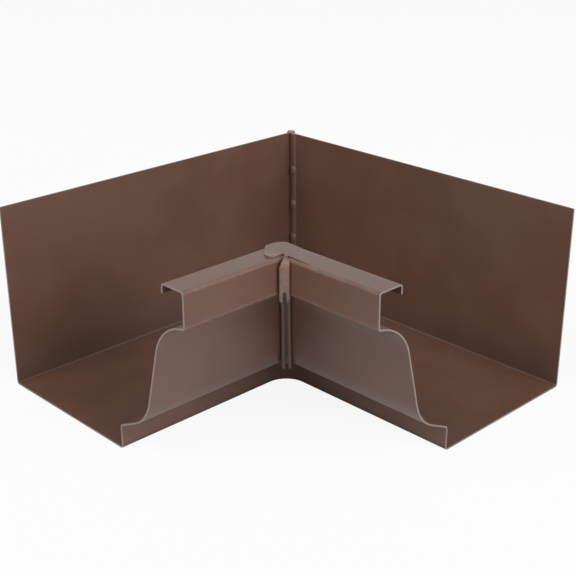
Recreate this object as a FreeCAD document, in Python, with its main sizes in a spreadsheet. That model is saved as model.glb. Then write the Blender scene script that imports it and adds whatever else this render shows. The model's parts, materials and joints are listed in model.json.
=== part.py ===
import FreeCAD, Part
import math
import os

from FreeCAD import Placement, Rotation, Vector

# Internal gutter angle: two short lengths of pressed sheet gutter, mitred and seamed at 90 degrees.
# Millimetres, +Z up. While it is built, the back walls meet at the origin: the left leg runs
# along -Y with its back on X = 0, and the right leg runs along +X with its back on Y = 0.
# At the end the whole angle is moved so that the origin is under the middle of its box.

os.makedirs("parts", exist_ok=True)
doc = FreeCAD.newDocument("internal_gutter_angle")

# Driving dimensions: name, size in mm, and what it measures.
DIMENSIONS = (
    ("leg_length", 177.8, "back wall of each leg, from the back corner to the open end"),
    ("back_height", 87.0, "height of the flat back wall"),
    ("bottom_depth", 82.3, "depth of the flat bottom, from the back wall to the upstand"),
    ("upstand_height", 11.0, "small upright step at the front of the bottom"),
    ("belly_run", 18.0, "from the upstand forward to the corner that the belly rounds"),
    ("belly_rise", 8.6, "from the top of the upstand up to the corner that the belly rounds"),
    ("cove_run", 15.1, "from the front face back to the corner that the cove rounds"),
    ("cove_drop", 3.5, "from the foot of the front face down to the corner that the cove rounds"),
    ("front_depth", 127.0, "from the back wall to the front face"),
    ("shelf_height", 69.5, "height of the foot of the front face"),
    ("face_height", 15.6, "height of the front face, from its foot to the flange on top"),
    ("flange_depth", 13.0, "flange on top of the front face, turned back over the trough"),
    ("lip_drop", 4.2, "lip turned down behind the flange"),
    ("belly_radius", 20.0, "outside radius of the belly"),
    ("cove_radius", 20.0, "outside radius of the cove"),
    ("fold_radius", 1.5, "outside radius of the sharp folds"),
    ("sheet_thickness", 0.7, "painted sheet"),
    ("seam_height", 4.0, "how far the corner seam stands off the sheet"),
    ("seam_width", 4.5, "width of the corner seam over its folds"),
    ("seam_right", 2.8, "part of that width on the right leg's side of the mitre line"),
    ("seam_clearance", 0.3, "room in the fold over the edge of the left leg"),
    ("seam_round", 0.9, "radius of the two outer edges of the corner seam"),
    ("hem_gap", 0.4, "from the free edge of the fold to the left leg"),
    ("foot_proud", 0.15, "how far the rounded foot of the front corner stands proud of the seam"),
    ("crown_height", 4.2, "top of the seam, hammered solid, at the back and at the front"),
    ("crown_width", 2.4, "width left at the very top of the front seam"),
    ("crown_round", 1.4, "radius of the two corners at the top of the back seam"),
    ("slot_width", 1.6, "gap left open down the front of the seam"),
    ("slot_depth", 2.2, "how deep that gap is"),
    ("slot_rise", 2.0, "from the foot of the front face up to the top of that gap"),
    ("tab_reach", 7.5, "flange tab, from the mitre line over the left leg"),
    ("tab_ramp", 12.0, "from the mitre line, over which the right flange rises to that tab"),
    ("tab_round", 3.0, "plan radius of the two corners of the tab"),
    ("nose_round", 7.5, "plan radius at the inner corner of the flanges"),
    ("floor_lap", 10.0, "lap strip along the mitre line, over the bottom of the left leg"),
    ("floor_lap_root", 3.0, "the same strip, over the bottom of the right leg"),
    ("bead_width", 4.2, "bead pressed up in the back corner, on the right leg"),
    ("bead_height", 0.9, "how far that bead stands off the back wall"),
    ("bead_gap", 0.6, "groove between the bead and the left back wall"),
    ("crimp_pitch", 19.3, "from one crimp of the seam to the next"),
    ("crimp_first", 20.6, "from the top of the back wall to the first crimp"),
    ("crimp_length", 7.0, "height of the swelling that a crimp leaves on the bead"),
    ("crimp_swell", 0.7, "how far that swelling stands off the bead"),
    ("spare", 1.0, "how far a cutting body reaches past what it cuts"),
)

dims = doc.addObject("Spreadsheet::Sheet", "dims")
for row, (alias, size, meaning) in enumerate(DIMENSIONS, start=1):
    dims.set(f"A{row}", meaning)
    dims.set(f"B{row}", str(size))
    dims.setAlias(f"B{row}", alias)
doc.recompute()


def part(kind, name, **bound):
    """Adds an object and binds its sizes, given as expressions, to the sheet."""
    item = doc.addObject(kind, name)
    for size, expression in bound.items():
        item.setExpression(size, expression)
    return item


def place(item, turn, east, north, up):
    """Turns an object about Z and binds its corner to three expressions."""
    item.Placement = Placement(Vector(), Rotation(Vector(0, 0, 1), turn))
    item.setExpression(".Placement.Base.x", east)
    item.setExpression(".Placement.Base.y", north)
    item.setExpression(".Placement.Base.z", up)
    return item


def square_box(name, west, east, south, north, low, high):
    """A box along the legs, from six expressions."""
    item = part("Part::Box", name, Length=f"({east}) - ({west})", Width=f"({north}) - ({south})",
                Height=f"({high}) - ({low})")
    return place(item, 0, west, south, low)


def mitre_box(name, back, front, left, right, low, high):
    """A box along the mitre line: out from the back corner, and across to the right leg."""
    item = part("Part::Box", name, Length=f"({front}) - ({back})", Width=f"({right}) - ({left})",
                Height=f"({high}) - ({low})")
    return place(item, -45, f"(({back}) + ({left})) / sqrt(2)", f"(({left}) - ({back})) / sqrt(2)", low)


def joined(name, *shapes):
    item = part("Part::MultiFuse", name)
    item.Shapes = list(shapes)
    return item


def shared(name, *shapes):
    item = part("Part::MultiCommon", name)
    item.Shapes = list(shapes)
    return item


def cut(name, base, tool):
    item = part("Part::Cut", name)
    item.Base = base
    item.Tool = tool
    return item


def mirrored(name, source):
    """The same shape across the mitre line."""
    item = part("Part::Mirroring", name)
    item.Source = source
    item.Base = Vector()
    item.Normal = Vector(1, 1, 0)
    return item


def extruded(name, base, direction, forward, backward):
    item = part("Part::Extrusion", name, LengthFwd=forward, LengthRev=backward)
    item.Base = base
    item.DirMode = "Custom"
    item.Dir = direction
    item.Solid = True
    return item


def rounded_path(corners, closed=False):
    """Lines and tangent arcs through corners, each a point and a radius."""
    points = [point for point, radius in corners]
    count = len(corners)
    ends = []
    for index, (point, radius) in enumerate(corners):
        if radius == 0:
            ends.append((point, None, point))
            continue
        before = (points[index - 1] - point).normalize()
        after = (points[(index + 1) % count] - point).normalize()
        half = before.getAngle(after) / 2
        middle = point + (before + after).normalize() * (radius / math.sin(half) - radius)
        reach = radius / math.tan(half)
        ends.append((point + before * reach, middle, point + after * reach))
    path = []
    for index, (start, middle, end) in enumerate(ends):
        if middle is not None:
            path.append(Part.Arc(start, middle, end))
        if closed or index < count - 1:
            path.append(Part.LineSegment(end, ends[(index + 1) % count][0]))
    return path


def offset_corners(corners, distance, closed=False):
    """The corners of a path moved to its right by a distance, with their radii to match."""
    moved = []
    last = len(corners) - 1
    for index, (point, radius) in enumerate(corners):
        steps = []
        if closed or index > 0:
            steps.append((point - corners[index - 1][0]).normalize())
        if closed or index < last:
            steps.append((corners[(index + 1) % len(corners)][0] - point).normalize())
        sides = [Vector(step.y, -step.x, 0) for step in steps]
        if len(sides) == 1:
            moved.append((point + sides[0] * distance, radius))
            continue
        shift = (sides[0] + sides[1]) * (distance / (1 + sides[0].dot(sides[1])))
        left_turn = steps[0].cross(steps[1]).z > 0
        new_radius = radius + distance if left_turn else radius - distance
        moved.append((point + shift, max(new_radius, 0) if radius > 0 else 0))
    return moved


def face_of(corners):
    """A flat face inside a closed path of corners."""
    return Part.Face(Part.Wire([piece.toShape() for piece in rounded_path(corners, closed=True)]))


def fitted_radius(before, corner, after, radius):
    """A radius, or the largest that leaves room for a fold at the far end of both lines."""
    room = min((before - corner).Length, (after - corner).Length) - 2 * dims.fold_radius
    return min(radius, room * math.tan((before - corner).getAngle(after - corner) / 2))


# Outside line of the sheet, seen along a leg: depth from the back wall, and height.
belly_depth = dims.bottom_depth + dims.belly_run
belly_height = dims.upstand_height + dims.belly_rise
cove_depth = dims.front_depth - dims.cove_run
cove_height = dims.shelf_height - dims.cove_drop
lip_depth = dims.front_depth - dims.flange_depth
front_height = dims.shelf_height + dims.face_height

back_top = Vector(0, dims.back_height, 0)
back_foot = Vector(0, 0, 0)
bottom_front = Vector(dims.bottom_depth, 0, 0)
upstand_top = Vector(dims.bottom_depth, dims.upstand_height, 0)
belly = Vector(belly_depth, belly_height, 0)
cove = Vector(cove_depth, cove_height, 0)
face_foot = Vector(dims.front_depth, dims.shelf_height, 0)
face_top = Vector(dims.front_depth, front_height, 0)
flange_back = Vector(lip_depth, front_height, 0)
lip_foot = Vector(lip_depth, front_height - dims.lip_drop, 0)
belly_radius = fitted_radius(upstand_top, belly, cove, dims.belly_radius)
cove_radius = fitted_radius(belly, cove, face_foot, dims.cove_radius)

outside_corners = (
    (back_top, 0),
    (back_foot, dims.fold_radius),
    (bottom_front, dims.fold_radius),
    (upstand_top, dims.fold_radius),
    (belly, belly_radius),
    (cove, cove_radius),
    (face_foot, dims.fold_radius),
    (face_top, dims.fold_radius),
    (flange_back, dims.fold_radius),
    (lip_foot, 0),
)
inside_corners = offset_corners(outside_corners, -dims.sheet_thickness)
upright = Placement(Vector(), Rotation(Vector(1, 0, 0), 90))
along_leg = Vector(0, -1, 0)

sheet_section = doc.addObject("Sketcher::SketchObject", "sheet_section")
sheet_section.Placement = upright
for piece in rounded_path((*outside_corners, *reversed(inside_corners)), closed=True):
    sheet_section.addGeometry(piece, False)

# What the outside line encloses, up to above the walls: it trims what is added at the seam.
core_top = dims.back_height + front_height
core_corners = (
    *outside_corners[1:7],
    (Vector(dims.front_depth, core_top, 0), 0),
    (Vector(0, core_top, 0), 0),
)


def core(name, corners):
    face = part("Part::Feature", f"{name}_face")
    face.Shape = face_of(corners)
    face.Placement = upright
    return extruded(name, face, along_leg, "dims.leg_length + dims.front_depth", "0")


left_core = core("left_core", core_corners)
right_core = mirrored("right_core", left_core)
left_hollow = core("left_hollow", offset_corners(core_corners, -dims.sheet_thickness, closed=True))
right_hollow = mirrored("right_hollow", left_hollow)

# The foot of the front corner is rounded in plan, from the bottom up to the belly, so that the
# seam ends on it. A post stands where the round leaves room for it, and the bottom fold flares it.
foot_radius = "((dims.seam_height + dims.foot_proud) * (sqrt(2) + 1))"
foot_middle = f"(dims.bottom_depth + {foot_radius})"
foot_inner = "(dims.bottom_depth - dims.fold_radius)"
foot_top = f"dims.upstand_height + {foot_radius}"


def foot_post(name, gap):
    """Clears the round by a gap, and keeps to the inside or outside of the bottom fold."""
    stem = part("Part::Cylinder", f"{name}_stem", Radius=f"{foot_radius} + {gap}",
                Height=f"{foot_top} + dims.spare")
    disc = part("Part::Cylinder", f"{name}_disc", Radius=f"{foot_radius} + dims.fold_radius",
                Height="dims.fold_radius")
    ring = part("Part::Torus", f"{name}_ring", Radius1=f"{foot_radius} + dims.fold_radius",
                Radius2=f"dims.fold_radius - {gap}")
    place(stem, 0, foot_middle, f"-{foot_middle}", "0")
    place(disc, 0, foot_middle, f"-{foot_middle}", "0")
    place(ring, 0, foot_middle, f"-{foot_middle}", "dims.fold_radius")
    return joined(name, stem, cut(f"{name}_flare", disc, ring))


def foot_block(name, low):
    return square_box(name, foot_inner, foot_middle, f"-{foot_middle}", f"-{foot_inner}", low, foot_top)


foot_surround = joined("foot_surround", foot_post("outer_post", "0"), left_hollow, right_hollow)
foot = cut("foot", foot_block("foot_block", "0"), foot_surround)
foot_hollow = cut("foot_hollow", foot_block("hollow_block", "dims.sheet_thickness"),
                  foot_post("inner_post", "dims.sheet_thickness"))

# The left leg's sheet ends on the mitre plane, and the right leg's is its mirror image.
left_side = mitre_box("left_side", "-dims.leg_length", "2 * (dims.leg_length + dims.front_depth)",
                      "-2 * (dims.leg_length + dims.front_depth)", "0",
                      "-dims.back_height", "2 * dims.back_height")
leg_blank = extruded("leg_blank", sheet_section, along_leg, "dims.leg_length", "0")
footed_blank = joined("footed_blank", leg_blank, foot)
open_blank = cut("open_blank", footed_blank, foot_hollow)
left_sheet = shared("left_sheet", open_blank, left_side)
right_sheet = mirrored("right_sheet", left_sheet)


# The outside line where the mitre plane cuts it: its depths grow by the square root of two.
# A large round becomes two smaller ones there, on either side of the middle of its arc.
def mitre_point(point):
    return Vector(point.x * math.sqrt(2), point.y, 0)


def arc_radius(before, corner, after):
    """The largest radius at a corner that stays within both of the lines beside it."""
    reach = min((before - corner).Length, (after - corner).Length)
    return reach * math.tan((before - corner).getAngle(after - corner) / 2)


def mitre_round(before, corner, after, radius):
    turn = (corner - before).getAngle(after - corner)
    whole = radius * math.tan(turn / 2)
    part_way = whole - radius * math.tan(turn / 4)
    back = (before - corner).normalize()
    ahead = (after - corner).normalize()
    start = mitre_point(corner + back * whole)
    first = mitre_point(corner + back * part_way)
    second = mitre_point(corner + ahead * part_way)
    finish = mitre_point(corner + ahead * whole)
    middle = (first + second) / 2
    return ((first, arc_radius(start, first, middle)), (second, arc_radius(middle, second, finish)))


mitre_corners = (
    (mitre_point(back_foot), 0),
    (mitre_point(bottom_front), 0),
    (mitre_point(upstand_top), dims.fold_radius + dims.seam_height),
    *mitre_round(upstand_top, belly, cove, belly_radius),
    *mitre_round(belly, cove, face_foot, cove_radius),
    (mitre_point(face_foot), dims.fold_radius),
    (mitre_point(Vector(dims.front_depth, core_top, 0)), 0),
    (mitre_point(Vector(0, core_top, 0)), 0),
)
upright_here = Rotation(Vector(1, 0, 0), 90)
on_mitre_plane = Placement(Vector(), Rotation(Vector(0, 0, 1), -45) * upright_here)
across_mitre = Placement(Vector(), Rotation(Vector(0, 0, 1), 45) * upright_here)
toward_right_leg = Vector(1, 1, 0)
along_mitre = Vector(1, -1, 0)


def seam_layer(name, height, left, right):
    """What lies up to a height off the outside line, between two planes beside the mitre plane."""
    face = part("Part::Feature", f"{name}_face")
    face.Shape = face_of(offset_corners(mitre_corners, height, closed=True))
    face.Placement = on_mitre_plane
    return extruded(name, face, toward_right_leg, right, f"-({left})")


# The corner seam: the edge of the left leg is turned out along the mitre plane, and the edge of
# the right leg is doubled, turned out beside it and folded back over it. It runs up the back
# corner and up the front, and the bottom is left flat. At the back the fold keeps clear of both
# walls, so that they can lie against their fascia boards.
seam_left = "(dims.seam_right - dims.seam_width)"
pocket_left = "(dims.seam_right - dims.seam_width + dims.sheet_thickness)"
edge_height = dims.seam_height - dims.sheet_thickness - dims.seam_clearance
far = "2 * (dims.front_depth + dims.seam_height)"
front_top = "(dims.shelf_height + dims.face_height)"
tab_top = f"({front_top} + dims.sheet_thickness)"
crown_foot = f"{tab_top} - dims.crown_height"
face_out = "(sqrt(2) * dims.front_depth)"

# The back seam has a rounded top, and the seams are solid above the zone of the left leg's edge.
fold_left = dims.seam_right - dims.seam_width
back_profile = part("Part::Feature", "back_profile")
back_profile.Shape = face_of((
    (Vector(fold_left, 0, 0), 0),
    (Vector(dims.seam_right, 0, 0), 0),
    (Vector(dims.seam_right, dims.back_height, 0), dims.crown_round),
    (Vector(fold_left, dims.back_height, 0), dims.crown_round),
))
back_profile.Placement = across_mitre
back_zone = extruded("back_zone", back_profile, along_mitre, "dims.bottom_depth", far)
front_foot = "dims.upstand_height - dims.seam_height"
front_zone = mitre_box("front_zone", "dims.bottom_depth", far, f"-{far}", far, front_foot, tab_top)
fold_zone = joined("fold_zone", back_zone, front_zone)
back_edge_zone = mitre_box("back_edge_zone", f"-{far}", "dims.bottom_depth", f"-{far}", far, "0",
                           "dims.back_height - dims.crown_height")
front_edge_zone = mitre_box("front_edge_zone", "dims.bottom_depth", far, f"-{far}", far, front_foot,
                            crown_foot)
edge_zone = joined("edge_zone", back_edge_zone, front_edge_zone)

fold_layer = seam_layer("fold_layer", dims.seam_height, seam_left, "dims.seam_right")
doc.recompute()
fold_mass = part("Part::Fillet", "fold_mass")
fold_mass.Base = fold_layer
fold_mass.Edges = [
    (number, dims.seam_round, dims.seam_round)
    for number, line in enumerate(fold_layer.Shape.Edges, start=1)
    if abs(line.tangentAt(line.FirstParameter).dot(toward_right_leg)) < 0.5
]
fold_inside = seam_layer("fold_inside", dims.seam_height - dims.sheet_thickness, pocket_left, "0")
fold_pocket = shared("fold_pocket", fold_inside, edge_zone)
grown_core = core("grown_core", offset_corners(core_corners, dims.hem_gap, closed=True))
hem_zone = mitre_box("hem_zone", f"-{far}", far, seam_left, pocket_left, "0", "dims.back_height")
hem_slit = shared("hem_slit", grown_core, hem_zone)
# Outside the walls the seam is trimmed away, but for its root beside the right wall.
left_fascia = square_box("left_fascia", f"-{far}", "dims.fold_radius", f"-{far}", "0", "0",
                         "dims.back_height")
right_fascia = square_box("right_fascia", "sqrt(2) * dims.sheet_thickness", far, "0", far, "0",
                          "dims.back_height")

# The top of the front seam is hammered solid: it is rounded over towards the flange, and it
# narrows upwards from the left.
crown_top = front_height + dims.sheet_thickness
crown_out = dims.front_depth * math.sqrt(2) + dims.seam_height
round_start = crown_out - dims.seam_height - dims.spare
round_end = crown_top - dims.seam_height - dims.spare
crown_round = part("Part::Feature", "crown_round_face")
crown_round.Shape = face_of((
    (Vector(round_start, crown_top, 0), 0),
    (Vector(crown_out, crown_top, 0), dims.seam_height),
    (Vector(crown_out, round_end, 0), 0),
    (Vector(crown_out + dims.spare, round_end, 0), 0),
    (Vector(crown_out + dims.spare, crown_top + dims.spare, 0), 0),
    (Vector(round_start, crown_top + dims.spare, 0), 0),
))
crown_round.Placement = on_mitre_plane
round_waste = extruded("round_waste", crown_round, toward_right_leg, "dims.seam_width", "dims.seam_width")

slope_foot = Vector(fold_left, crown_top - dims.crown_height, 0)
slope_top = Vector(dims.seam_right - dims.crown_width, crown_top, 0)
slope_way = (slope_top - slope_foot).normalize() * dims.spare
crown_slope = part("Part::Feature", "crown_slope_face")
crown_slope.Shape = face_of((
    (slope_foot - slope_way, 0),
    (slope_top + slope_way, 0),
    (Vector((slope_foot - slope_way).x, (slope_top + slope_way).y, 0), 0),
))
crown_slope.Placement = across_mitre
slope_waste = extruded("slope_waste", crown_slope, along_mitre, far, "-dims.bottom_depth")
crown_waste = joined("crown_waste", round_waste, slope_waste)

# Below its top part the fold isn't closed: a slot runs down its middle to the foot of the corner.
slot_middle = f"({seam_left} + dims.seam_right) / 2"
slot_mass = seam_layer("slot_mass", dims.seam_height + dims.spare,
                       f"{slot_middle} - dims.slot_width / 2", f"{slot_middle} + dims.slot_width / 2")
slot_floor = seam_layer("slot_floor", dims.seam_height - dims.slot_depth, seam_left, "dims.seam_right")
slot_strip = cut("slot_strip", slot_mass, slot_floor)
slot_zone = mitre_box("slot_zone", "dims.bottom_depth", far, f"-{far}", far, front_foot,
                      "dims.shelf_height + dims.slot_rise")
slot = shared("slot", slot_strip, slot_zone)

fold_trimming = joined("fold_trimming", left_core, right_core, foot, fold_pocket, hem_slit,
                       left_fascia, right_fascia, crown_waste, slot)
fold_blank = shared("fold_blank", fold_mass, fold_zone)
fold = cut("fold", fold_blank, fold_trimming)

edge_mass = seam_layer("edge_mass", edge_height, "-dims.sheet_thickness", "0")
edge_blank = shared("edge_blank", edge_mass, edge_zone)
edge_trimming = joined("edge_trimming", left_core, right_core, foot)
edge = cut("edge", edge_blank, edge_trimming)

# Lap strip of the right leg over the bottom of the left leg, clear of the folds round it.
strip = mitre_box("strip", "0", far, "-dims.floor_lap", "dims.floor_lap_root",
                  "dims.sheet_thickness", "2 * dims.sheet_thickness")
left_floor = square_box("left_floor", "dims.fold_radius", "dims.bottom_depth - dims.fold_radius",
                        "-dims.leg_length", "-dims.fold_radius", "0", "dims.back_height")
right_floor = mirrored("right_floor", left_floor)
floors = joined("floors", left_floor, right_floor)
floor_strip = shared("floor_strip", strip, floors)

# Tab of the right leg over the flange of the left leg. The right flange rises to it over a ramp,
# and a tongue runs on from it over the front fold to the top of the seam.
lip = "(dims.front_depth - dims.flange_depth)"
flat_front = "(dims.front_depth - dims.fold_radius)"
flat_back = f"({lip} + dims.fold_radius)"
tab_profile = part("Part::Feature", "tab_profile")
tab_profile.Shape = face_of((
    (Vector(-dims.tab_reach, front_height, 0), 0),
    (Vector(dims.tab_ramp, front_height, 0), 0),
    (Vector(0, crown_top, 0), 0),
    (Vector(-dims.tab_reach, crown_top, 0), 0),
))
tab_profile.Placement = across_mitre
tab_slab = extruded("tab_slab", tab_profile, along_mitre, far, "0")
tab_bed = square_box("tab_bed", lip, flat_front, "-dims.leg_length", f"-{flat_back}", "0", tab_top)
flat_bed = square_box("flat_bed", flat_back, flat_front, "-dims.leg_length", f"-{flat_back}", "0", tab_top)
ramp_bed = mirrored("ramp_bed", flat_bed)
beds = joined("beds", tab_bed, ramp_bed)
tab_blank = shared("tab_blank", tab_slab, beds)
doc.recompute()
tab_plate = part("Part::Fillet", "tab_plate")
tab_plate.Base = tab_blank
tab_plate.Edges = [
    (number, dims.tab_round, dims.tab_round)
    for number, line in enumerate(tab_blank.Shape.Edges, start=1)
    if abs(line.tangentAt(line.FirstParameter).z) > 0.9
    and line.CenterOfMass.dot(toward_right_leg) / math.sqrt(2) < -dims.tab_reach * 0.99
]
tongue_blank = mitre_box("tongue_blank", f"sqrt(2) * {flat_front} - dims.spare", f"{face_out} + dims.spare",
                         "dims.seam_right - dims.crown_width", "dims.seam_right - dims.seam_round",
                         f"{front_top} - dims.sheet_thickness", tab_top)
tongue_trimming = joined("tongue_trimming", left_sheet, crown_waste)
tongue = cut("tongue", tongue_blank, tongue_trimming)
tab = joined("tab", tab_plate, tongue)

# The inner corner of the flanges is rounded in plan, through both legs and the tab.
round_foot = f"{front_top} - dims.lip_drop - 2 * dims.spare"
round_height = "dims.lip_drop + dims.sheet_thickness + 4 * dims.spare"
corner_block = square_box("corner_block", f"{lip} - dims.spare", f"{lip} + dims.nose_round",
                          f"-{lip} - dims.nose_round", f"-{lip} + dims.spare",
                          f"{front_top} - dims.lip_drop - dims.spare", f"{tab_top} + dims.spare")
corner_round = part("Part::Cylinder", "corner_round", Radius="dims.nose_round", Height=round_height)
place(corner_round, 0, f"{lip} + dims.nose_round", f"-{lip} - dims.nose_round", round_foot)
corner_waste = cut("corner_waste", corner_block, corner_round)

# Bead that the crimping presses up inside the back corner, on the right leg's back wall.
bead_radius = "(dims.bead_width ^ 2 / 4 + dims.bead_height ^ 2) / (2 * dims.bead_height)"
bead_middle = "dims.sheet_thickness + dims.bead_gap + dims.bead_width / 2"
bead_foot = "2 * dims.sheet_thickness"
bead_rod = part("Part::Cylinder", "bead_rod", Radius=bead_radius, Height=f"dims.back_height - {bead_foot}")
place(bead_rod, 0, bead_middle, f"{bead_radius} - dims.sheet_thickness - dims.bead_height", bead_foot)
bead_swells = []
crimp_room = dims.back_height - dims.crimp_first - dims.crimp_length / 2
for index in range(int(crimp_room // dims.crimp_pitch) + 1):
    swell = part("Part::Ellipsoid", f"bead_swell_{index + 1}", Radius1="dims.crimp_length / 2",
                 Radius2="dims.bead_width / 2", Radius3="dims.bead_height + dims.crimp_swell")
    place(swell, 0, bead_middle, "-dims.sheet_thickness",
          f"dims.back_height - dims.crimp_first - {index} * dims.crimp_pitch")
    bead_swells.append(swell)
bead_mass = joined("bead_mass", bead_rod, *bead_swells)
bead_zone = square_box("bead_zone", "dims.sheet_thickness + dims.bead_gap",
                       "dims.sheet_thickness + dims.bead_gap + dims.bead_width",
                       "-dims.sheet_thickness - dims.bead_height - dims.crimp_swell",
                       "-dims.sheet_thickness / 2", bead_foot, "dims.back_height")
bead = shared("bead", bead_mass, bead_zone)

left_mass = joined("left_mass", left_sheet, edge)
left_leg = cut("left_leg", left_mass, corner_waste)
right_mass = joined("right_mass", right_sheet, fold, floor_strip, tab, bead)
right_leg = cut("right_leg", right_mass, corner_waste)
pieces = (left_leg, right_leg)

# The seam's rounded edges reach past both back walls, and the middle of the box moves with them.
seam_out = "(dims.seam_height - dims.seam_round)"
seam_west = f"(({seam_out} - {seam_left} - dims.seam_round) / sqrt(2) + dims.seam_round)"
seam_north = f"(({seam_out} + dims.seam_right - dims.seam_round) / sqrt(2) + dims.seam_round)"
for leg in pieces:
    leg.setExpression(".Placement.Base.x", f"({seam_west} - dims.leg_length) / 2")
    leg.setExpression(".Placement.Base.y", f"(dims.leg_length - {seam_north}) / 2")

doc.recompute()
for item in doc.Objects:
    if "Invalid" in item.State or "Error" in item.State:
        raise RuntimeError(f"{item.Name} is {item.State}")
for leg in pieces:
    if leg.Shape.isNull() or not leg.Shape.isValid() or len(leg.Shape.Solids) != 1:
        raise RuntimeError(f"{leg.Label} is not one valid solid")
    leg.Shape.exportStep(f"parts/{leg.Label}.step")
    box = leg.Shape.BoundBox
    print(leg.Label, round(leg.Shape.Volume, 1), "mm3", box)
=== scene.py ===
import json
import math

import bpy
from mathutils import Euler, Matrix, Vector


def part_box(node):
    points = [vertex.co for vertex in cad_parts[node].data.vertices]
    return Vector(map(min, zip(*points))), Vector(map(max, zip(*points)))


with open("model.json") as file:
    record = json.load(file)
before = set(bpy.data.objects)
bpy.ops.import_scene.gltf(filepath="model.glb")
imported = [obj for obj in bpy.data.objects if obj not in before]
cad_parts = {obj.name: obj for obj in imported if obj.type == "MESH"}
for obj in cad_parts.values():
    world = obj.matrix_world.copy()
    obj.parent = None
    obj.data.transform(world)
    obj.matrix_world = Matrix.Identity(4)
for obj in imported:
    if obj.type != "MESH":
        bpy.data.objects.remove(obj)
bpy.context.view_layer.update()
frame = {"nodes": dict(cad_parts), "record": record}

# Camera
# It stands over the open corner of the angle and looks down into it at the back corner,
# from 46 degrees round and 23 degrees up.
mounts = {mount["name"]: Vector(mount["pos_m"]) for mount in frame["record"]["mounts"]}
back_corner = Vector((mounts["left_back"].x, mounts["right_back"].y, 0))
camera_from_corner = Vector((0.4299, -0.4168, 0.2489))
camera_azimuth = math.radians(46.01)
camera_elevation = math.radians(22.90)
camera_roll = math.radians(-0.17)
sensor_mm = 36
lens_mm = 71.4
nearest_seen = 0.01

bpy.ops.object.select_all(action="DESELECT")
bpy.ops.object.camera_add(location=back_corner + camera_from_corner)
camera = bpy.context.object
camera.name = "camera"
turn = Euler((math.pi / 2 - camera_elevation, 0, camera_azimuth)).to_matrix()
camera.rotation_euler = (turn @ Matrix.Rotation(camera_roll, 3, "Z")).to_euler()
camera.data.sensor_width = sensor_mm
camera.data.lens = lens_mm
camera.data.clip_start = nearest_seen
bpy.context.scene.camera = camera
bpy.context.scene.view_settings.view_transform = "Standard"

# Floor
# A wide matt white board. Looked at straight it is mostly plain white, as in a studio shot, and
# the rest takes the light, so a soft shadow stays. In the paint it is mirrored with its shadow.
floor_width = 6
board_white = (0.86, 0.86, 0.86, 1)
board_roughness = 0.9
plain_white_straight = 0.9
plain_white_mirrored = 0.18

bpy.ops.mesh.primitive_plane_add(size=floor_width)
floor = bpy.context.object
floor.name = "floor"

floor_board = bpy.data.materials.new("floor_board")
floor_board.use_nodes = True
nodes, links = floor_board.node_tree.nodes, floor_board.node_tree.links
matt_white = nodes["Principled BSDF"]
matt_white.inputs["Base Color"].default_value = board_white
matt_white.inputs["Roughness"].default_value = board_roughness
plain_white = nodes.new("ShaderNodeEmission")
plain_white.inputs["Color"].default_value = (1, 1, 1, 1)
plain_white.inputs["Strength"].default_value = 1
seen_by = nodes.new("ShaderNodeLightPath")
straight_look = nodes.new("ShaderNodeMath")
straight_look.operation = "MAXIMUM"
links.new(seen_by.outputs["Is Camera Ray"], straight_look.inputs[0])
links.new(seen_by.outputs["Is Transmission Ray"], straight_look.inputs[1])
straight_white = nodes.new("ShaderNodeMath")
straight_white.operation = "MULTIPLY"
links.new(straight_look.outputs[0], straight_white.inputs[0])
straight_white.inputs[1].default_value = plain_white_straight
mirrored_white = nodes.new("ShaderNodeMath")
mirrored_white.operation = "MULTIPLY"
links.new(seen_by.outputs["Is Glossy Ray"], mirrored_white.inputs[0])
mirrored_white.inputs[1].default_value = plain_white_mirrored
white_share = nodes.new("ShaderNodeMath")
white_share.operation = "MAXIMUM"
links.new(straight_white.outputs[0], white_share.inputs[0])
links.new(mirrored_white.outputs[0], white_share.inputs[1])
board_mix = nodes.new("ShaderNodeMixShader")
links.new(white_share.outputs[0], board_mix.inputs["Fac"])
links.new(matt_white.outputs["BSDF"], board_mix.inputs[1])
links.new(plain_white.outputs["Emission"], board_mix.inputs[2])
links.new(board_mix.outputs["Shader"], nodes["Material Output"].inputs["Surface"])
floor.data.materials.append(floor_board)

# Lamps and sky
# Two wide soft lamps stand to the right and to the left of the camera, the right one a little
# cooler. The sky is a plain white studio, at full white to the camera and in reflections, and a
# weak fill light on the paint.
lamp_distance = 3.0
lamp_width = 2.2
lamps = (
    # Name, azimuth and elevation in degrees, watts and colour.
    ("right_lamp", 90, 30, 76, (0.96, 1, 1.08)),
    ("left_lamp", -5, 45, 50, (1, 1, 1)),
)
sky_white = 1
sky_fill = 0.17

for name, azimuth, elevation, watts, colour in lamps:
    around, up = math.radians(azimuth), math.radians(elevation)
    level = math.cos(up)
    way = Vector((math.sin(around) * level, -math.cos(around) * level, math.sin(up)))
    bpy.ops.object.light_add(type="AREA", location=lamp_distance * way)
    lamp = bpy.context.object
    lamp.name = name
    lamp.data.size = lamp_width
    lamp.data.energy = watts
    lamp.data.color = colour
    lamp.rotation_euler = way.to_track_quat("Z", "Y").to_euler()

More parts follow.
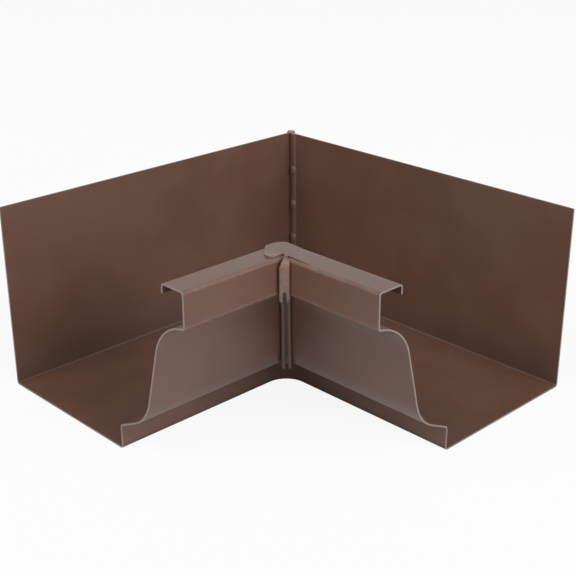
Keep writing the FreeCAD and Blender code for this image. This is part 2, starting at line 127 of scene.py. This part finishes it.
sky = bpy.context.scene.world or bpy.data.worlds.new("sky")
bpy.context.scene.world = sky
sky.use_nodes = True
nodes, links = sky.node_tree.nodes, sky.node_tree.links
nodes["Background"].inputs["Color"].default_value = (1, 1, 1, 1)
seen_by = nodes.new("ShaderNodeLightPath")
camera_or_gloss = nodes.new("ShaderNodeMath")
camera_or_gloss.operation = "MAXIMUM"
links.new(seen_by.outputs["Is Camera Ray"], camera_or_gloss.inputs[0])
links.new(seen_by.outputs["Is Glossy Ray"], camera_or_gloss.inputs[1])
seen_straight = nodes.new("ShaderNodeMath")
seen_straight.operation = "MAXIMUM"
links.new(camera_or_gloss.outputs[0], seen_straight.inputs[0])
links.new(seen_by.outputs["Is Transmission Ray"], seen_straight.inputs[1])
sky_strength = nodes.new("ShaderNodeMapRange")
sky_strength.inputs["To Min"].default_value = sky_fill
sky_strength.inputs["To Max"].default_value = sky_white
links.new(seen_straight.outputs[0], sky_strength.inputs["Value"])
links.new(sky_strength.outputs["Result"], nodes["Background"].inputs["Strength"])

# Left leg
# A stub of gutter folded from one strip of thin aluminium sheet, painted satin brown on both
# sides before it is folded. It is cut square at its open end, and along the mitre its edge is
# turned out into the corner seam.
left_leg = frame["nodes"]["left_leg"]
back_wall_x = mounts["left_back"].x
left_end_y = mounts["left_end"].y
wall_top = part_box("left_leg")[1].z

# Depths are in front of the back wall, and heights over the floor, both in metres.
bottom_depth = 0.0823
face_depth = 0.127
lip_depth = 0.114
upstand_height = 0.011
shelf_height = 0.0695
front_height = 0.0851

brown = (0.124, 0.058, 0.037, 1)
clouded_brown = (0.136, 0.066, 0.044, 1)
# The pale rubbed brown serves for real rubs and wear, and also as the painted highlight on the
# top of the seam.
rubbed_and_highlight_brown = (0.210, 0.130, 0.102, 1)
# The dark brown is painted shade in the inside folds of the trough.
painted_shade_brown = (0.045, 0.021, 0.014, 1)
cut_aluminium = (0.26, 0.20, 0.175, 1)
wear_share = 0.5
rub_share = 0.12

plain_roughness = 0.37
clouded_roughness = 0.42
rubbed_roughness_more = 0.06
painted_shade_roughness_more = 0.5
bare_metallic = 0.3
wave_depth = 0.0006
peel_depth = 0.00003


def start_group(name, takes, gives):
    group = bpy.data.node_groups.new(name, "ShaderNodeTree")
    for socket in takes:
        group.interface.new_socket(name=socket, in_out="INPUT", socket_type="NodeSocketFloat")
    for socket in gives:
        group.interface.new_socket(name=socket, in_out="OUTPUT", socket_type="NodeSocketFloat")
    return group, group.nodes.new("NodeGroupInput"), group.nodes.new("NodeGroupOutput")


def place_in(tree):
    return tree.nodes.new("ShaderNodeTexCoord").outputs["Object"]


def put(tree, value, socket):
    # A value is either another node's output or a plain number or colour.
    if hasattr(value, "is_linked"):
        tree.links.new(value, socket)
    else:
        socket.default_value = value


def worked_out(tree, operation, first, second):
    node = tree.nodes.new("ShaderNodeMath")
    node.operation = operation
    put(tree, first, node.inputs[0])
    put(tree, second, node.inputs[1])
    return node.outputs[0]


def ramp_of(tree, value, low, high, bottom=0.0, top=1.0):
    node = tree.nodes.new("ShaderNodeMapRange")
    node.interpolation_type = "SMOOTHSTEP"
    tree.links.new(value, node.inputs["Value"])
    node.inputs["From Min"].default_value = low
    node.inputs["From Max"].default_value = high
    node.inputs["To Min"].default_value = bottom
    node.inputs["To Max"].default_value = top
    return node.outputs["Result"]


def noise_of(tree, vector, scale, detail, roughness=0.5):
    node = tree.nodes.new("ShaderNodeTexNoise")
    tree.links.new(vector, node.inputs["Vector"])
    node.inputs["Scale"].default_value = scale
    node.inputs["Detail"].default_value = detail
    node.inputs["Roughness"].default_value = roughness
    return node.outputs["Fac"]


def laid_over(tree, under, mask, shade):
    mix = tree.nodes.new("ShaderNodeMix")
    mix.data_type = "RGBA"
    tree.links.new(mask, mix.inputs["Factor"])
    put(tree, under, mix.inputs["A"])
    mix.inputs["B"].default_value = shade
    return mix.outputs["Result"]


def distance_to_nearest(tree, depth, height, folds):
    # A fold runs the whole length of the leg, so its depth and height give its place.
    spot = tree.nodes.new("ShaderNodeCombineXYZ")
    tree.links.new(depth, spot.inputs["X"])
    tree.links.new(height, spot.inputs["Y"])
    nearest = None
    for fold_depth, fold_height in folds:
        to_fold = tree.nodes.new("ShaderNodeVectorMath")
        to_fold.operation = "DISTANCE"
        tree.links.new(spot.outputs["Vector"], to_fold.inputs[0])
        to_fold.inputs[1].default_value = (fold_depth, fold_height, 0)
        near = to_fold.outputs["Value"]
        nearest = near if nearest is None else worked_out(tree, "MINIMUM", nearest, near)
    return nearest


# The baked paint has a fine orange peel, and its colour clouds a little over a few centimetres.
paint_skin, takes, gives = start_group("paint_skin", (), ("Peel", "Cloud"))
place = place_in(paint_skin)
peel = noise_of(paint_skin, place, scale=640, detail=1.5)
paint_skin.links.new(peel, gives.inputs["Peel"])
clouds = noise_of(paint_skin, place, scale=31, detail=3, roughness=0.6)
paint_skin.links.new(ramp_of(paint_skin, clouds, low=0.35, high=0.65), gives.inputs["Cloud"])

# Thin sheet never stays quite flat: it has long shallow waves, some 6 cm apart.
sheet_waves, takes, gives = start_group("sheet_waves", (), ("Waves",))
waves = noise_of(sheet_waves, place_in(sheet_waves), scale=17, detail=0.6)
sheet_waves.links.new(waves, gives.inputs["Waves"])

# Along the folds that stand out the stretched paint is paler and a little rubbed.
outer_folds = (
    (bottom_depth, upstand_height),
    (face_depth, shelf_height),
    (face_depth, front_height),
    (lip_depth, front_height),
)
fold_wear, takes, gives = start_group("fold_wear", ("Depth", "Height"), ("Wear",))
nearest = distance_to_nearest(fold_wear, *takes.outputs[:2], outer_folds)
close = ramp_of(fold_wear, nearest, low=0.0004, high=0.0022, bottom=1, top=0)
specks = noise_of(fold_wear, place_in(fold_wear), scale=210, detail=4, roughness=0.65)
broken = ramp_of(fold_wear, specks, low=0.38, high=0.68, bottom=0.25)
fold_wear.links.new(worked_out(fold_wear, "MULTIPLY", close, broken), gives.inputs["Wear"])

# Inside the trough the two folds of the bottom are painted darker in a thin line, as painted
# shade, and on the back wall this painted shade fades out upwards.
bottom_folds = ((0, 0), (bottom_depth, 0))
painted_shade_strength = 0.45
fold_painted_shade, takes, gives = start_group("fold_painted_shade", ("Depth", "Height"), ("Painted shade",))
depth, height = takes.outputs[:2]
nearest = distance_to_nearest(fold_painted_shade, depth, height, bottom_folds)
line = ramp_of(fold_painted_shade, nearest, low=0.0012, high=0.0030, bottom=painted_shade_strength, top=0)
thinning = ramp_of(fold_painted_shade, nearest, low=0.0020, high=0.0220, bottom=painted_shade_strength, top=0)
on_the_wall = ramp_of(fold_painted_shade, depth, low=0.0012, high=0.0020, bottom=1, top=0)
up_the_wall = worked_out(fold_painted_shade, "MULTIPLY", thinning, on_the_wall)
from_outside = worked_out(fold_painted_shade, "MINIMUM", depth, height)
inside = ramp_of(fold_painted_shade, from_outside, low=0.0002, high=0.0005)
fold_shade = worked_out(fold_painted_shade, "MAXIMUM", line, up_the_wall)
fold_painted_shade.links.new(worked_out(fold_painted_shade, "MULTIPLY", fold_shade, inside), gives.inputs["Painted shade"])

# Sheared edges show the metal: all of it at the open end of the leg, and less along the top of
# the back wall.
top_edge_bare = 0.45
cut_edge, takes, gives = start_group("cut_edge", ("From end", "Height"), ("Bare",))
from_end, height = takes.outputs[:2]
at_end = ramp_of(cut_edge, from_end, low=0.00008, high=0.00022, bottom=1, top=0)
at_top = ramp_of(cut_edge, height, low=wall_top - 0.0002, high=wall_top - 0.00008,
                 top=top_edge_bare)
cut_edge.links.new(worked_out(cut_edge, "MAXIMUM", at_end, at_top), gives.inputs["Bare"])

# Handling leaves faint rubs that run along the leg, in patches.
rub_scales = (("X", "Along", 14), ("Y", "Depth", 520), ("Z", "Height", 520))
rub_marks, takes, gives = start_group("rub_marks", ("Along", "Depth", "Height"), ("Rub",))
drawn_out = rub_marks.nodes.new("ShaderNodeCombineXYZ")
for axis, measure, scale in rub_scales:
    scaled = worked_out(rub_marks, "MULTIPLY", takes.outputs[measure], scale)
    rub_marks.links.new(scaled, drawn_out.inputs[axis])
strokes = noise_of(rub_marks, drawn_out.outputs["Vector"], scale=1, detail=2.5, roughness=0.6)
strokes = ramp_of(rub_marks, strokes, low=0.6, high=0.78)
patches = noise_of(rub_marks, place_in(rub_marks), scale=24, detail=1)
patches = ramp_of(rub_marks, patches, low=0.48, high=0.62)
rub_marks.links.new(worked_out(rub_marks, "MULTIPLY", strokes, patches), gives.inputs["Rub"])


def brown_paint(name, back_wall, open_end):
    # back_wall and open_end are each an axis, a place on it and the sign of the way into the
    # trough or into the leg.
    paint = bpy.data.materials.new(name)
    paint.use_nodes = True
    tree = paint.node_tree
    shader = tree.nodes["Principled BSDF"]
    spot = tree.nodes.new("ShaderNodeSeparateXYZ")
    tree.links.new(place_in(tree), spot.inputs["Vector"])

    def distance_from(axis, start, sign):
        past = worked_out(tree, "SUBTRACT", spot.outputs[axis], start)
        return worked_out(tree, "MULTIPLY", past, sign)

    def effect(group, *given):
        node = tree.nodes.new("ShaderNodeGroup")
        node.node_tree = group
        for socket, value in zip(node.inputs, given):
            tree.links.new(value, socket)
        return node.outputs

    depth = distance_from(*back_wall)
    along = distance_from(*open_end)
    height = spot.outputs["Z"]
    skin = effect(paint_skin)
    wear = effect(fold_wear, depth, height)["Wear"]
    fold_shade = effect(fold_painted_shade, depth, height)["Painted shade"]
    bare = effect(cut_edge, along, height)["Bare"]
    rub = effect(rub_marks, along, depth, height)["Rub"]

    colour = brown
    layers = (
        (skin["Cloud"], clouded_brown),
        (worked_out(tree, "MULTIPLY", wear, wear_share), rubbed_and_highlight_brown),
        (worked_out(tree, "MULTIPLY", rub, rub_share), rubbed_and_highlight_brown),
        # Painted shade in the inside folds of the bottom.
        (fold_shade, painted_shade_brown),
        (bare, cut_aluminium),
    )
    for mask, shade in layers:
        colour = laid_over(tree, colour, mask, shade)
    tree.links.new(colour, shader.inputs["Base Color"])

    dull = ramp_of(tree, skin["Cloud"], 0, 1, plain_roughness, clouded_roughness)
    rubbed = worked_out(tree, "MAXIMUM", wear, rub)
    for mask, more in ((rubbed, rubbed_roughness_more), (fold_shade, painted_shade_roughness_more)):
        dull = worked_out(tree, "ADD", dull, worked_out(tree, "MULTIPLY", mask, more))
    tree.links.new(dull, shader.inputs["Roughness"])
    tree.links.new(worked_out(tree, "MULTIPLY", bare, bare_metallic), shader.inputs["Metallic"])

    waved = tree.nodes.new("ShaderNodeBump")
    waved.inputs["Distance"].default_value = wave_depth
    waved.inputs["Strength"].default_value = 1
    tree.links.new(effect(sheet_waves)["Waves"], waved.inputs["Height"])
    peeled = tree.nodes.new("ShaderNodeBump")
    peeled.inputs["Distance"].default_value = peel_depth
    peeled.inputs["Strength"].default_value = 1
    tree.links.new(skin["Peel"], peeled.inputs["Height"])
    tree.links.new(waved.outputs["Normal"], peeled.inputs["Normal"])
    tree.links.new(peeled.outputs["Normal"], shader.inputs["Normal"])
    return paint


left_paint = brown_paint("left_leg_paint", ("X", back_wall_x, 1), ("Y", left_end_y, 1))
for slot in left_leg.material_slots:
    slot.material = left_paint

# Right leg
# The mirror image of the left leg, from the same painted sheet. Its edge is folded over the
# left leg's in the corner seam, and it has the tab, the lap strip and the crimped bead too.
right_leg = frame["nodes"]["right_leg"]
back_wall_y = mounts["right_back"].y
right_end_x = mounts["right_end"].x
right_paint = brown_paint("right_leg_paint", ("Y", back_wall_y, -1), ("X", right_end_x, -1))

# The top of the seam, where it stands proud in front of the face, is painted paler in small
# patches: a painted highlight.
seam_highlight_share = 0.7
tree = right_paint.node_tree
base_colour = tree.nodes["Principled BSDF"].inputs["Base Color"]
place = place_in(tree)
spot = tree.nodes.new("ShaderNodeSeparateXYZ")
tree.links.new(place, spot.inputs["Vector"])
depth = worked_out(tree, "SUBTRACT", back_wall_y, spot.outputs["Y"])
proud = ramp_of(tree, depth, low=face_depth + 0.0003, high=face_depth + 0.0013,
                top=seam_highlight_share)
highlight_patches = noise_of(tree, place, scale=330, detail=2)
highlight_patches = ramp_of(tree, highlight_patches, low=0.35, high=0.65, bottom=0.55)
seam_highlight = worked_out(tree, "MULTIPLY", proud, highlight_patches)
painted = base_colour.links[0].from_socket
# The painted highlight is laid over the seam's top.
tree.links.new(laid_over(tree, painted, seam_highlight, rubbed_and_highlight_brown), base_colour)
for slot in right_leg.material_slots:
    slot.material = right_paint
